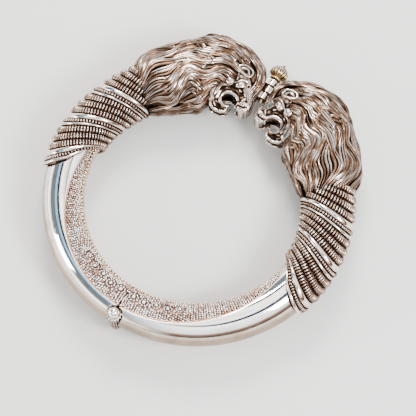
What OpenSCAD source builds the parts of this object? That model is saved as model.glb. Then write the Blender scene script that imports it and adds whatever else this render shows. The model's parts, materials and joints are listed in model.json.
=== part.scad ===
// Hinged silver kada bangle with two lion heads that face each other.
// The ring lies flat: Z runs up through the wrist opening, the hinge is on -Y, the clasp on +Y.
// Ring angles are measured at the ring's centre from the clasp axis, and the right half is on +X.

/* [Ring] */
// Radius of the centre line of the tube
ring_r = 34.5; // [34:0.1:35]
// Outer radius of the polished tube
tube_r = 5.35; // [5.3:0.05:5.4]
// Thickness of the polished outer sheet
sheet_t = 1.1; // [1.05:0.05:1.2]
// Gap between pieces that are set against each other
fit_gap = 0.08; // [0.06:0.01:0.1]
// Ring angle at which the tube starts, inside the collar
tube_from = 64; // [63:1:75]

/* [Granulated lining] */
// Outer radius of the lining, a little under the polished tube
lining_r = 5.2; // [5.15:0.05:5.25]
// Thickness of the lining sheet
lining_t = 0.8; // [0.75:0.05:0.8]
// Radius of the upright cylinder that parts the lining from the polished sheet
parting_r = 29.9; // [29.8:0.1:30]
// How far that cylinder stands from the ring's centre, towards the hinge
parting_shift = 6.55; // [6.4:0.05:6.6]
// Ring angle at which the lining starts, inside the collar
lining_from = 96; // [95:1:98]

/* [Wire collars] */
// Tilt of the wire rings, more ring angle at the outer side than at the middle
tilt_out = 5.25; // [3:0.25:6]
// Tilt of the wire rings, more ring angle at the top than at the middle
tilt_top = 4.25; // [2:0.25:5]
// Ring angle of the middle of the collar's end on the tube
collar_to = 103.9; // [102:0.1:105]
// Depth of the grooves between the wires
wire_h = 0.75; // [0.4:0.05:0.8]
// Sides of the collar's round section
collar_sides = 28; // [16:2:32]

/* [Lion heads] */
// Half width of a head across the ring, which is half the height of the bangle
head_w = 8; // [7.9:0.1:9]
// Height of the locks of the mane
lock_h = 0.95; // [0.3:0.05:1.1]
// Locks round one head
lock_count = 12; // [10:2:18]
// Rows of facets along the mane
mane_rows = 34; // [20:1:40]
// Sides of the mane's round section
mane_sides = 56; // [36:4:60]

/* [Hinge] */
// Distance of the hinge pin from the ring's centre
hinge_r = 38.5; // [38.4:0.1:38.7]
// Outer radius of the hinge knuckles
knuckle_r = 1.9; // [1.8:0.05:2]
// Half length of the whole hinge barrel
barrel_h = 3.6; // [3.4:0.1:4]
// Half length of the middle knuckle
mid_h = 1.2; // [1:0.1:1.6]
// Radius of the hinge pin
pin_r = 0.8; // [0.7:0.05:0.9]
// Radius of the ball on each end of the pin
ball_r = 1.4; // [1.2:0.05:1.5]

/* [Clasp screw] */
// Distance of the knob's tip from the ring's centre
knob_tip_r = 44.5; // [44:0.1:45.5]
// Radius of the knob's rim
knob_r = 2.6; // [2.2:0.1:2.8]
// Radius of the screw's shank
shank_r = 0.6; // [0.5:0.05:0.7]
// Outer radius of the clasp knuckles
loop_r = 1.25; // [1.15:0.05:1.3]
// Length of one clasp knuckle
loop_len = 2.15; // [2:0.05:2.2]
// Distance of the outermost clasp knuckle's top from the ring's centre
loop_top_r = 39.2; // [39:0.1:39.4]

/* [Hidden] */
$fn = 64;

mid_z = head_w;                         // height of the ring's middle plane
seam = 0.05;                            // half the seam between the halves at the hinge
run_gap = 0.05;                         // clearance round the pin and round the screw
side_gap = 0.15;                        // clearance between knuckles and round them
washer_r = 1.75;                        // washer under each ball of the pin
washer_h = 0.35;
ball_sunk = 0.4;                        // how far each ball is sunk into its washer
plate_r = tube_r - sheet_t + 0.07;      // plate that closes the tube at the hinge
plate_deg = 1.6;                        // ring angle that the plate takes up
sleeve_r = tube_r + 0.15;               // inside of the collar
sleeve_rows = 9;                        // rows of facets inside the collar
mane_gap = 0.37;                        // ring angle between the collar and the mane
cut_h = 4 * tube_r;                     // height of the cutting cylinders
loop_gap = 0.15;                        // clearance between the clasp knuckles
loop_pitch = loop_len + loop_gap;
loop_bore_r = shank_r + run_gap;
lug_to = [1.6, 1.45, 1.4];              // how far each clasp knuckle's lug reaches to its head
lug_h = 2.0;                            // height of the lugs across the ring
shank_end_r = 31.6;                     // inner end of the screw
knob_foot_r = 39.4;                     // ring under the knob, at its inner face

// The ring's centre is set so that the origin is the middle of the whole outline
reach_hinge = hinge_r + knuckle_r;
ring_y = (reach_hinge - knob_tip_r) / 2;

// Mane and skull: ring angle, inner radius, outer radius, half width
head_sections = [
    [ 2.6, 33.6, 37.2, 2.4],
    [ 3.6, 32.4, 38.6, 3.7],
    [ 5.5, 31.4, 40.4, 5.0],
    [ 8.5, 30.6, 42.4, 6.0],
    [12.5, 30.2, 43.9, 6.9],
    [17,   29.6, 45.0, 7.6],
    [22,   28.4, 45.8, 8.1],
    [27,   26.4, 46.2, 8.5],
    [30,   25.3, 45.2, 8.5],
    [33,   24.9, 45.1, 8.5],
    [40,   24.9, 44.4, 8.3],
    [50,   25.5, 43.2, 7.8],
    [56,   26.2, 41.8, 7.3],
    [62,   27.0, 41.0, 7.1]
];

// Bony parts of the face, all as chains of ball pairs: ring angle, radius, half spread, ball radius
muzzle_balls = [
    [11,  35.0, 3.6, 2.2],
    [ 8,  32.6, 2.8, 2.0],
    [ 5.5, 30.6, 2.2, 1.9],
    [ 4.5, 29.0, 2.0, 1.8],
    [ 4.2, 27.8, 1.9, 1.5],
    [ 5.4, 26.8, 1.8, 1.1]
];
palate_balls = [
    [ 6.5, 28.8, 2.2, 1.3],
    [10.5, 31.2, 3.2, 1.4],
    [16,  31.8, 3.8, 1.3],
    [20.5, 30.8, 3.8, 1.3]
];
jaw_balls = [
    [23.5, 29.6, 3.2, 1.6],
    [24,  27.8, 2.6, 1.5],
    [22,  26.5, 2.2, 1.3],
    [18.5, 26.0, 1.9, 1.1],
    [15.3, 26.2, 1.6, 0.9],
    [13.6, 26.9, 1.4, 0.75]
];
// Fangs: ring angle and radius of the root, ring angle and radius of the point, half spread, root radius
fangs = [
    [ 7.2, 27.1,  8.2, 25.2, 1.9, 0.7],
    [13.6, 26.9, 13.0, 28.5, 1.4, 0.6]
];
// Eye bosses and cheeks: ring angle, radius, height off the middle plane, ball radius
bosses = [
    [ 9.6, 35.6, 5.0, 1.7],
    [13.5, 33.2, 6.0, 1.7]
];

// Collar: ring angle, radius of its centre line, radius over the wires
collar_sections = [
    [54, 33.8, 7.2],
    [65, 33.9, 7.15],
    [75, 34.1, 7.0],
    [85, 34.4, 6.85],
    [95, 34.5, 6.75],
    [110, 34.5, 6.7]
];
// One turn of wires from the tube's end on: ring angle that it takes, share of the full height
wires = [
    [2.2, 0.65],
    [2.8, 0.8],
    [3.0, 1.0],
    [3.0, 0.95],
    [3.0, 0.95],
    [3.0, 0.95]
];
wire_rings = 19;                        // wire rings on one collar

// Value of one column of a table of sections at a ring angle
function at(table, angle, column) = lookup(angle, [for (row = table) [row[0], row[column]]]);

// Point at a ring angle, a radius and a height off the middle plane, on the right half
function on_ring(angle, r, z) = [r * sin(angle), ring_y + r * cos(angle), mid_z + z];

// Ring angle at which a head ends against its collar, round the section and at a share of its radius
function head_end(round_angle, share = 1) = 58.3 - 2.8 * share * cos(round_angle);

// Faces of a closed grid of rows of equal length
function grid_faces(rows, sides, first = 0) = [
    for (i = [0:rows - 2], j = [0:sides - 1])
        let (k = (j + 1) % sides)
        for (tri = [
            [i * sides + j, (i + 1) * sides + j, (i + 1) * sides + k],
            [i * sides + j, (i + 1) * sides + k, i * sides + k]
        ]) [for (v = tri) first + v]
];

function reversed(faces) = [for (f = faces) [f[2], f[1], f[0]]];

// Part of the ring between two ring angles of the right half, swept from a flat shape
module swept(from, to) {
    translate([0, ring_y, mid_z])
        rotate([0, 0, 90 - to]) rotate_extrude(angle = to - from)
            translate([ring_r, 0]) children();
}

// Everything inside the upright cylinder that parts the lining from the polished sheet
module parting_cylinder(r) {
    translate([0, ring_y - parting_shift, mid_z]) cylinder(r = r, h = cut_h, center = true, $fn = 128);
}

module at_hinge(from_z, to_z, r) {
    translate([0, ring_y - hinge_r, mid_z + from_z]) cylinder(r = r, h = to_z - from_z);
}

// Everything of the right half, short of the seam
module right_side() {
    translate([seam, ring_y - 2 * ring_r, mid_z - cut_h / 2]) cube([2 * ring_r, 4 * ring_r, cut_h]);
}

// Polished half tube, open where the lining goes, with a closing plate at the hinge
module tube_sheet() {
    intersection() {
        union() {
            difference() {
                swept(tube_from, 180) difference() {
                    circle(r = tube_r);
                    circle(r = tube_r - sheet_t);
                }
                intersection() {
                    parting_cylinder(parting_r);
                    swept(lining_from - 0.5, 182) square(3 * tube_r, center = true);
                }
            }
            swept(180 - plate_deg, 180) circle(r = plate_r);
        }
        right_side();
    }
}

module lining() {
    color("rosybrown") intersection() {
        swept(lining_from, 180) difference() {
            circle(r = lining_r);
            circle(r = lining_r - lining_t);
        }
        parting_cylinder(parting_r - fit_gap);
        right_side();
    }
}

// The left tube carries the two outer knuckles of the hinge
module left_tube() {
    color("silver") difference() {
        union() {
            mirror([1, 0, 0]) tube_sheet();
            at_hinge(-barrel_h, barrel_h, knuckle_r);
        }
        at_hinge(-mid_h - side_gap, mid_h + side_gap, knuckle_r + side_gap);
        for (end = [barrel_h, -2 * barrel_h]) at_hinge(end, end + barrel_h, knuckle_r + side_gap);
        at_hinge(-2 * barrel_h, 2 * barrel_h, pin_r + run_gap);
    }
}

// The right tube carries the middle knuckle
module right_tube() {
    color("silver") difference() {
        union() {
            difference() {
                tube_sheet();
                for (end = [mid_h, -2 * barrel_h])
                    at_hinge(end, end + 2 * barrel_h - mid_h, knuckle_r + side_gap);
            }
            at_hinge(-mid_h, mid_h, knuckle_r);
        }
        at_hinge(-2 * barrel_h, 2 * barrel_h, pin_r + run_gap);
    }
}

module left_lining() { mirror([1, 0, 0]) lining(); }
module right_lining() { lining(); }

// Start of a wire, as ring angle from the end of the collar
function wire_start(i) = i == 0 ? 0 : wire_start(i - 1) + wires[(i - 1) % len(wires)][0];

// Rows of the collar's outer face: ring angle of the middle, share of the wire height
collar_rows = [
    for (i = [0:wire_rings - 1])
        let (wire = wires[i % len(wires)], m = collar_to - wire_start(i))
        for (row = [[m, 0], [m - wire[0] / 2, wire[1]]]) row
];

// Point of the collar's outer face: the rings are cut off where the mane starts
function collar_point(k, round_angle) =
    let (
        row = collar_rows[k],
        ring_at = row[0] + tilt_out * cos(round_angle) + tilt_top * sin(round_angle),
        mane_at = head_end(round_angle) + mane_gap,
        a = max(ring_at, mane_at + 0.03 * (len(collar_rows) - k)),
        fade = min(1, max(0, (ring_at - mane_at) / 1.5)),
        r = at(collar_sections, a, 2) - wire_h * (1 - row[1] * fade)
    )
    on_ring(a, at(collar_sections, a, 1) + r * cos(round_angle), r * sin(round_angle));

function sleeve_point(i, round_angle) =
    let (
        share = i / (sleeve_rows - 1),
        from = collar_to + tilt_out * cos(round_angle) + tilt_top * sin(round_angle),
        to = head_end(round_angle, sleeve_r / collar_sections[0][2]) + mane_gap,
        a = from + (to - from) * share
    )
    on_ring(a, ring_r + sleeve_r * cos(round_angle), sleeve_r * sin(round_angle));

// Sleeve of tilted wire rings between the tube and the mane
module collar() {
    n = collar_sides;
    rows = len(collar_rows);
    outer = [for (k = [0:rows - 1], j = [0:n - 1]) collar_point(k, 360 * j / n)];
    inner = [for (i = [0:sleeve_rows - 1], j = [0:n - 1]) sleeve_point(i, 360 * j / n)];
    first = rows * n;
    last = first + (sleeve_rows - 1) * n;
    ends = [
        for (j = [0:n - 1]) let (k = (j + 1) % n)
            for (tri = [
                [j, k, first + k], [j, first + k, first + j],
                [first - n + j, last + k, first - n + k], [first - n + j, last + j, last + k]
            ]) tri
    ];
    color("tan") polyhedron(
        points = concat(outer, inner),
        faces = concat(grid_faces(rows, n), reversed(grid_faces(sleeve_rows, n, first)), ends)
    );
}

module left_collar() { mirror([1, 0, 0]) collar(); }
module right_collar() { collar(); }

// Height of the locks: ridges that run back from the face and swing to and fro on their way
function lock_ridge(a, round_angle) =
    let (
        side = abs(round_angle > 180 ? round_angle - 360 : round_angle),
        swing = 0.75 * sin(8.5 * (a - 14)) + 0.05 * a,
        wave = 0.5 + 0.5 * cos(lock_count * side + 180 * swing),
        grow = min(1, max(0.15, (a - 8) / 12))
    )
    lock_h * grow * (wave - 1);

// Point of the mane's skin, worn flat on both faces where the bangle rests
function mane_point(share, round_angle) =
    let (
        from = head_sections[0][0],
        a = from + (head_end(round_angle) - from) * share,
        r_in = at(head_sections, a, 1),
        r_out = at(head_sections, a, 2),
        relief = lock_ridge(a, round_angle),
        deep = (r_out - r_in) / 2 + relief,
        wide = at(head_sections, a, 3) + relief,
        z = max(-head_w, min(head_w, wide * sin(round_angle)))
    )
    on_ring(a, (r_in + r_out) / 2 + deep * cos(round_angle), z);

// Skull and mane in one skin, closed at the brow and against the collar
module mane() {
    n = mane_sides;
    rows = mane_rows;
    skin = [for (i = [0:rows - 1], j = [0:n - 1]) mane_point(i / (rows - 1), 360 * j / n)];
    brow = on_ring(head_sections[0][0], (head_sections[0][1] + head_sections[0][2]) / 2, 0);
    back = on_ring(head_end(90), 34, 0);
    caps = [
        for (j = [0:n - 1]) let (k = (j + 1) % n)
            for (tri = [
                [rows * n, j, k],
                [rows * n + 1, (rows - 1) * n + k, (rows - 1) * n + j]
            ]) tri
    ];
    polyhedron(points = concat(skin, [brow, back]), faces = concat(grid_faces(rows, n), caps));
}

// One link of a chain of ball pairs, from one row of a table to the next
module link(from, to, balls = 8) {
    hull() for (ball = [from, to], side = [-1, 1])
        translate(on_ring(ball[0], ball[1], side * ball[2])) sphere(r = ball[3], $fn = balls);
}

module chain(table) {
    for (i = [0:len(table) - 2]) link(table[i], table[i + 1]);
}

// Face: nose and upper lip, roof of the open mouth, lower jaw, fangs, eyes and cheeks
module head() {
    color("gainsboro") {
        mane();
        chain(muzzle_balls);
        chain(palate_balls);
        chain(jaw_balls);
        for (fang = fangs, side = [-1, 1]) hull() {
            translate(on_ring(fang[0], fang[1], side * fang[4])) sphere(r = fang[5], $fn = 6);
            translate(on_ring(fang[2], fang[3], side * fang[4])) sphere(r = 0.2, $fn = 4);
        }
        for (boss = bosses, side = [-1, 1])
            translate(on_ring(boss[0], boss[1], side * boss[2])) sphere(r = boss[3], $fn = 12);
    }
}

module left_head() { mirror([1, 0, 0]) head(); }
module right_head() { head(); }

// Clasp knuckle number i from the knob, on a lug that reaches to the head on the right
module clasp_knuckle(i) {
    top = loop_top_r - i * loop_pitch;
    difference() {
        translate([0, ring_y + top - loop_len, mid_z]) union() {
            rotate([-90, 0, 0]) cylinder(r = loop_r, h = loop_len);
            translate([0, 0, -lug_h / 2]) cube([lug_to[i], loop_len, lug_h]);
        }
        along_screw(top - 2 * loop_len, top + loop_len, loop_bore_r);
    }
}

// Straight round bar on the clasp axis between two distances from the ring's centre
module along_screw(from_r, to_r, r) {
    translate([0, ring_y + from_r, mid_z]) rotate([-90, 0, 0]) cylinder(r = r, h = to_r - from_r);
}

module left_clasp_knuckle_outer() {
    color("silver") mirror([1, 0, 0]) clasp_knuckle(0);
}

module left_clasp_knuckle_inner() {
    color("silver") mirror([1, 0, 0]) clasp_knuckle(2);
}

// The middle knuckle is open towards the left head, so that the halves part sideways
module right_clasp_knuckle() {
    color("silver") difference() {
        clasp_knuckle(1);
        translate([-2 * loop_r, ring_y + loop_top_r - 3 * loop_pitch, mid_z - loop_bore_r])
            cube([2 * loop_r, 3 * loop_pitch, 2 * loop_bore_r]);
    }
}

// Hinge pin with a washer and a ball at each end
module hinge_pin() {
    washer_z = barrel_h + run_gap;
    ball_z = washer_z + washer_h + ball_r - ball_sunk;
    color("lightgray") {
        at_hinge(-ball_z, ball_z, pin_r);
        for (side = [-1, 1])
            translate([0, ring_y - hinge_r, mid_z + side * ball_z]) sphere(r = ball_r);
        for (end = [washer_z, -washer_z - washer_h]) at_hinge(end, end + washer_h, washer_r);
    }
}

// Screw pin with its knob: foot ring, neck, rim, dome and a small tip
module clasp_screw() {
    dome_h = 2.4;
    rim_r = knob_tip_r - dome_h - 1.3;
    color("goldenrod") translate([0, ring_y, mid_z]) rotate([-90, 0, 0]) {
        rotate_extrude() polygon([
            [0, shank_end_r], [shank_r, shank_end_r], [shank_r, knob_foot_r],
            [1.5, knob_foot_r], [1.5, knob_foot_r + 0.7], [1.1, knob_foot_r + 0.8],
            [1.1, rim_r - 0.3], [knob_r - 0.2, rim_r], [knob_r, rim_r + 0.4],
            [knob_r - 0.2, rim_r + 0.8], [2.1, rim_r + 1.7], [1.2, rim_r + dome_h],
            [0.6, rim_r + dome_h + 0.4], [0.6, knob_tip_r - 0.5], [0.3, knob_tip_r], [0, knob_tip_r]
        ]);
    }
}

left_tube();
left_lining();
left_collar();
left_head();
left_clasp_knuckle_outer();
left_clasp_knuckle_inner();
right_tube();
right_lining();
right_collar();
right_head();
right_clasp_knuckle();
hinge_pin();
clasp_screw();
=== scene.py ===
"""Kada bangle with two facing lion heads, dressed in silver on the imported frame.

Shapes are worked out in millimetres round the ring's centre, for the right half.
The left half is the same shapes mirrored in X.
"""
import json
import math

import bmesh
import bpy
import numpy as np
from mathutils import Matrix, Vector


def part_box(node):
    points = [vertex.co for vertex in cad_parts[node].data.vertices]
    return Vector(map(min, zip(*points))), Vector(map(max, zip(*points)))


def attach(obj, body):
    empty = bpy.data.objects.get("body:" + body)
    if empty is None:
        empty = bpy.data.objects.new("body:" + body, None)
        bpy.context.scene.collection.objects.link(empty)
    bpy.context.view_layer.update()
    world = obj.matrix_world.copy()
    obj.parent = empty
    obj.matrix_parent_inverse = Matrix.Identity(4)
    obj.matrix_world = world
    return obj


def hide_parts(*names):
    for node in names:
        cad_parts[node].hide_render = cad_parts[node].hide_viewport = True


MM = 0.001
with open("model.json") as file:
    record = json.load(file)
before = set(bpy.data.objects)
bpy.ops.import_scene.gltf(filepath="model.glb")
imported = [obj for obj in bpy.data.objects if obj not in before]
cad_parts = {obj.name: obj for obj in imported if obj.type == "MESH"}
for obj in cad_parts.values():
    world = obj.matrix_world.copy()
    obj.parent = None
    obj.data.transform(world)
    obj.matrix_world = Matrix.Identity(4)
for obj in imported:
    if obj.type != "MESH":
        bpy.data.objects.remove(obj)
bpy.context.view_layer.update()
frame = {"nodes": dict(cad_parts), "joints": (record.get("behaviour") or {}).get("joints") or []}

# Ring, read from the frame
HINGE_R = 38.5
hinge_pin_at = Vector(frame["joints"][0]["pos_m"]) / MM
tube_low, tube_high = (Vector(corner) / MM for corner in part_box("right_tube"))
RING_Y = hinge_pin_at.y + HINGE_R
MID_Z = hinge_pin_at.z
TUBE_R = (tube_high.z - tube_low.z) / 2
RING_R = tube_high.x - TUBE_R
# Half the gap between the halves at the hinge
SEAM = 0.06

# Parting line between the polished tube and the granulated lining: an upright cylinder
PARTING_R = 29.9
PARTING_SHIFT = 6.55

BODY = {1: "right_half", -1: "left_half"}
HALF = {1: "right", -1: "left"}


def on_ring(angle, r, z=0.0):
    """Point at a ring angle in degrees, a radius and a height off the middle plane, on the right half."""
    turn = np.radians(angle)
    return np.stack(np.broadcast_arrays(r * np.sin(turn), RING_Y + r * np.cos(turn), MID_Z + z), -1)


def on_tube(angle, round_angle, r, centre=RING_R):
    """Point on a round section of radius r, where round angle 0 is outward and 90 is up."""
    turn = np.radians(round_angle)
    return on_ring(angle, centre + r * np.cos(turn), r * np.sin(turn))


def unit(v):
    return v / np.maximum(np.linalg.norm(v, axis=-1, keepdims=True), 1e-9)


def circle(count):
    """Angles in radians, evenly spread over a full turn."""
    return np.linspace(0, 2 * math.pi, count, endpoint=False)


def placed(name, data):
    """New object, linked into the scene."""
    thing = bpy.data.objects.new(name, data)
    bpy.context.scene.collection.objects.link(thing)
    return thing


def set_relief(mesh, relief):
    """Smooth shading, and the relief that the silver reads."""
    layer = mesh.attributes.new("relief", "FLOAT", "POINT")
    layer.data.foreach_set("value", np.asarray(relief, np.float32))
    mesh.polygons.foreach_set("use_smooth", [True] * len(mesh.polygons))


class Pile:
    """Points, faces and relief of one piece. Relief is 0 in the grooves and 1 on the ridges."""

    def __init__(self):
        self.points = []
        self.faces = []
        self.relief = []
        self.count = 0

    def add(self, points, faces, relief=1.0):
        points = np.asarray(points, float).reshape(-1, 3)
        self.points.append(points)
        self.faces.extend((np.asarray(faces) + self.count).tolist())
        self.relief.append(np.broadcast_to(np.asarray(relief, float).ravel(), (len(points),)))
        self.count += len(points)

    def grid(self, rows, relief=1.0, closed=True, caps=False):
        """Skin over rows of points, closed round the section or open, with flat ends if asked."""
        rows = np.asarray(rows, float)
        n, m = rows.shape[:2]
        relief = np.broadcast_to(relief, (n, m)).ravel()
        i, j = np.meshgrid(np.arange(n - 1), np.arange(m if closed else m - 1), indexing="ij")
        k = (j + 1) % m
        faces = np.stack([i * m + j, (i + 1) * m + j, (i + 1) * m + k, i * m + k], -1).reshape(-1, 4)
        start = self.count
        self.add(rows, faces, relief)
        if caps:
            self.faces.append([start + j for j in range(m)])
            self.faces.append([start + (n - 1) * m + j for j in reversed(range(m))])

    def build(self, name, side, slot, material, nodes=(), body=None):
        """The piece, mirrored in X where side is -1, riding on its body in place of its nodes."""
        points = np.concatenate(self.points) * [side, 1, 1] * MM
        faces = self.faces if side > 0 else [f[::-1] for f in self.faces]
        mesh = bpy.data.meshes.new(name)
        mesh.from_pydata(points.tolist(), [], faces)
        set_relief(mesh, np.concatenate(self.relief))
        mesh.materials.append(material)
        mesh.update()
        return dress(placed(name, mesh), body or BODY[side], nodes)


def dress(piece, body, nodes=()):
    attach(piece, body)
    if nodes:
        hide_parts(*nodes)
    return piece


def template_ball(fine):
    """Points and triangles of a unit ball."""
    ball = bmesh.new()
    bmesh.ops.create_icosphere(ball, subdivisions=fine, radius=1.0)
    points = np.array([v.co[:] for v in ball.verts])
    faces = np.array([[v.index for v in f.verts] for f in ball.faces])
    ball.free()
    return points, faces


def without_foot(ball, below=-0.45):
    """The same ball without the faces that are sunk in its bed."""
    points, faces = ball
    faces = faces[(points[faces][..., 2] > below).any(axis=1)]
    used = np.unique(faces)
    place = np.zeros(len(points), int)
    place[used] = np.arange(len(used))
    return points[used], place[faces]


def template_grain():
    """Small six-sided bead without a foot."""
    turn = circle(6)
    rings = ((-0.35, 0.94), (0.35, 0.94), (0.8, 0.6))
    points = [(r * math.cos(t), r * math.sin(t), z) for z, r in rings for t in turn]
    faces = [(18, 12 + k, 12 + (k + 1) % 6) for k in range(6)]
    for low in (0, 6):
        for k in range(6):
            a, b, c, d = low + k, low + (k + 1) % 6, low + 6 + (k + 1) % 6, low + 6 + k
            faces += [(a, b, c), (a, c, d)]
    return np.array(points + [(0, 0, 1)]), np.array(faces)


BALL = template_ball(2)
BEAD = without_foot(BALL)
FINE_BALL = template_ball(4)
GRAIN = template_grain()
# One turn of a coil, squarer than a bead so that the turns lie close together
COIL_TURN = (BEAD[0] * np.abs(BEAD[0] + 1e-9) ** [-0.3, -0.3, 0], BEAD[1])


def beads(pile, at, up, along, sizes, ball=BEAD, tone=1.0):
    """Beads at points, each with a size along its row, across it and up, and a tone."""
    points, faces = ball
    up = unit(up)
    across = unit(np.cross(up, along))
    along = np.cross(across, up)
    sizes = np.broadcast_to(np.asarray(sizes, float), (len(at), 3))
    shape = (
        points[None, :, 0:1] * (along * sizes[:, 0:1])[:, None]
        + points[None, :, 1:2] * (across * sizes[:, 1:2])[:, None]
        + points[None, :, 2:3] * (up * sizes[:, 2:3])[:, None]
        + at[:, None]
    )
    relief = (0.5 + 0.5 * points[None, :, 2]) * np.broadcast_to(tone, len(at))[:, None]
    steps = np.arange(len(at))[:, None, None] * len(points)
    pile.add(shape.reshape(-1, 3), (faces[None] + steps).reshape(-1, 3), relief)


# Materials


class Nodes:
    """Short hand for building a material's node tree."""

    def __init__(self, tree):
        self.tree = tree

    def add(self, kind, inputs=None, **settings):
        node = self.tree.nodes.new(kind)
        for key, value in settings.items():
            setattr(node, key, value)
        self.feed(node, inputs or {})
        return node

    def feed(self, node, inputs):
        """Set a node's inputs to numbers and colours, or join outputs of other nodes to them."""
        for key, value in inputs.items():
            if isinstance(value, bpy.types.NodeSocket):
                self.tree.links.new(value, node.inputs[key])
            else:
                node.inputs[key].default_value = value

    def noise(self, scale, detail=3.0, stretch=(1, 1, 1)):
        place = self.add("ShaderNodeTexCoord").outputs["Object"]
        place = self.add("ShaderNodeMapping", {"Scale": stretch, "Vector": place}).outputs["Vector"]
        noise = self.add("ShaderNodeTexNoise", {"Scale": scale, "Detail": detail, "Vector": place})
        return noise.outputs["Fac"]

    def remap(self, value, low, high, to_low=0.0, to_high=1.0):
        span = {"Value": value, "From Min": low, "From Max": high, "To Min": to_low, "To Max": to_high}
        return self.add("ShaderNodeMapRange", span).outputs["Result"]

    def math(self, operation, a, b):
        return self.add("ShaderNodeMath", {0: a, 1: b}, operation=operation).outputs["Value"]

    def mix(self, factor, a, b):
        """Colour a at factor 0 and b at factor 1."""
        node = self.add("ShaderNodeMix", {"Factor": factor}, data_type="RGBA")
        colours = [k for k, socket in enumerate(node.inputs) if socket.type == "RGBA"]
        values = [(*v, 1.0) if isinstance(v, tuple) else v for v in (a, b)]
        self.feed(node, dict(zip(colours, values)))
        return [s for s in node.outputs if s.type == "RGBA"][0]


# How far, in metres, tarnish looks for the walls of its groove
RECESS = 0.001
# Scales of the noises: patches of wear, smears on the polish, cast grain, scratches
PATCHES, SMEARS, CAST, SCRATCHES = 260.0, 900.0, 1500.0, 500.0


def silver(name, bright, warm, tarnish, polish, dull, grain=0.0, scratch=0.0):
    """Silver that is bright on its ridges, warm on its flanks and tarnished in its grooves.

    Its roughness runs from polish on the ridges to dull in the grooves. Grain and scratch are the
    heights in millimetres of a cast skin and of polishing marks.
    """
    material = bpy.data.materials.new(name)
    material.use_nodes = True
    n = Nodes(material.node_tree)
    shader = material.node_tree.nodes["Principled BSDF"]
    relief = n.add("ShaderNodeAttribute", attribute_name="relief").outputs["Fac"]
    hollow = n.add("ShaderNodeAmbientOcclusion", {"Distance": RECESS}, samples=8)
    open_to_air = n.remap(hollow.outputs["AO"], 0.25, 0.9)
    patches = n.remap(n.noise(PATCHES), 0.35, 0.65, 0.75, 1.1)
    # The relief, and so these colours, also carry painted light: a painted reflection on the tube's outer
    # side, painted highlights and shade along the strands, and painted shade inside the mouth; elsewhere
    # they are tarnish and wear
    wear_and_sheen = n.math("MULTIPLY", n.math("MULTIPLY", relief, open_to_air), patches)
    flank = n.mix(n.remap(wear_and_sheen, 0.03, 0.38), tarnish, warm)
    colour = n.mix(n.remap(wear_and_sheen, 0.38, 0.86), flank, bright)
    smears = n.remap(n.noise(SMEARS), 0.3, 0.7, -0.04, 0.05)
    rough = n.math("ADD", n.remap(wear_and_sheen, 0.1, 0.8, dull, polish), smears)
    n.feed(shader, {"Metallic": 1.0, "Base Color": colour, "Roughness": rough})
    if grain or scratch:
        height = n.noise(CAST, 4.0) if grain else n.noise(SCRATCHES, 2.0, (1, 1, 0.2))
        rise = {"Strength": 1.0, "Distance": (grain or scratch) * MM, "Height": height}
        n.feed(shader, {"Normal": n.add("ShaderNodeBump", rise).outputs["Normal"]})
    return material


# Bright, warm and tarnished colour, then the roughness polished and dull
polished = silver("polished_silver", (0.95, 0.93, 0.9), (0.5, 0.38, 0.29), (0.09, 0.045, 0.03),
    0.06, 0.3, scratch=0.004)
granulated = silver("granulated_silver", (0.93, 0.86, 0.83), (0.42, 0.25, 0.18), (0.016, 0.007, 0.005),
    0.12, 0.5)
edge_gold = silver("edge_beads", (0.9, 0.7, 0.44), (0.5, 0.3, 0.15), (0.03, 0.014, 0.008),
    0.14, 0.5, grain=0.008)
wired = silver("wire_silver", (0.53, 0.45, 0.39), (0.2, 0.11, 0.07), (0.018, 0.009, 0.006),
    0.12, 0.5, grain=0.012)
smooth_wire = silver("smooth_wire", (0.8, 0.73, 0.66), (0.4, 0.23, 0.155), (0.03, 0.012, 0.008),
    0.09, 0.5, scratch=0.003)
carved = silver("carved_silver", (0.61, 0.52, 0.46), (0.135, 0.073, 0.044), (0.014, 0.008, 0.005),
    0.11, 0.4, grain=0.02)
solder = silver("solder_line", (0.62, 0.33, 0.21), (0.42, 0.16, 0.08), (0.2, 0.06, 0.03),
    0.2, 0.5, grain=0.01)
gilt = silver("gilt_silver", (0.93, 0.77, 0.48), (0.6, 0.4, 0.18), (0.06, 0.025, 0.01),
    0.14, 0.45, grain=0.008)


# Polished half tubes


def parting_angle(angle):
    """Round angle at which the lining meets the polished tube."""
    turn = np.radians(angle)
    reach = -PARTING_SHIFT * np.cos(turn) + np.sqrt(PARTING_R**2 - (PARTING_SHIFT * np.sin(turn)) ** 2)
    return np.degrees(np.arccos(np.clip((reach - RING_R) / TUBE_R, -1, 1)))


# Radius round the hinge pin that the tubes leave free
BARREL_CUT = 2.05


def seam_angle(r):
    """Ring angle at which a half ends, clear of the seam and of the hinge barrel."""
    clear = np.sqrt(np.maximum(BARREL_CUT**2 - (r - HINGE_R) ** 2, 0))
    return 180 - np.degrees(np.arcsin(np.maximum(clear, SEAM) / r))


def tube_radius(angle):
    """The tube swells a little from the hinge to the collars."""
    return TUBE_R - 0.12 + 0.3 * (180 - angle) / 80


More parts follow.
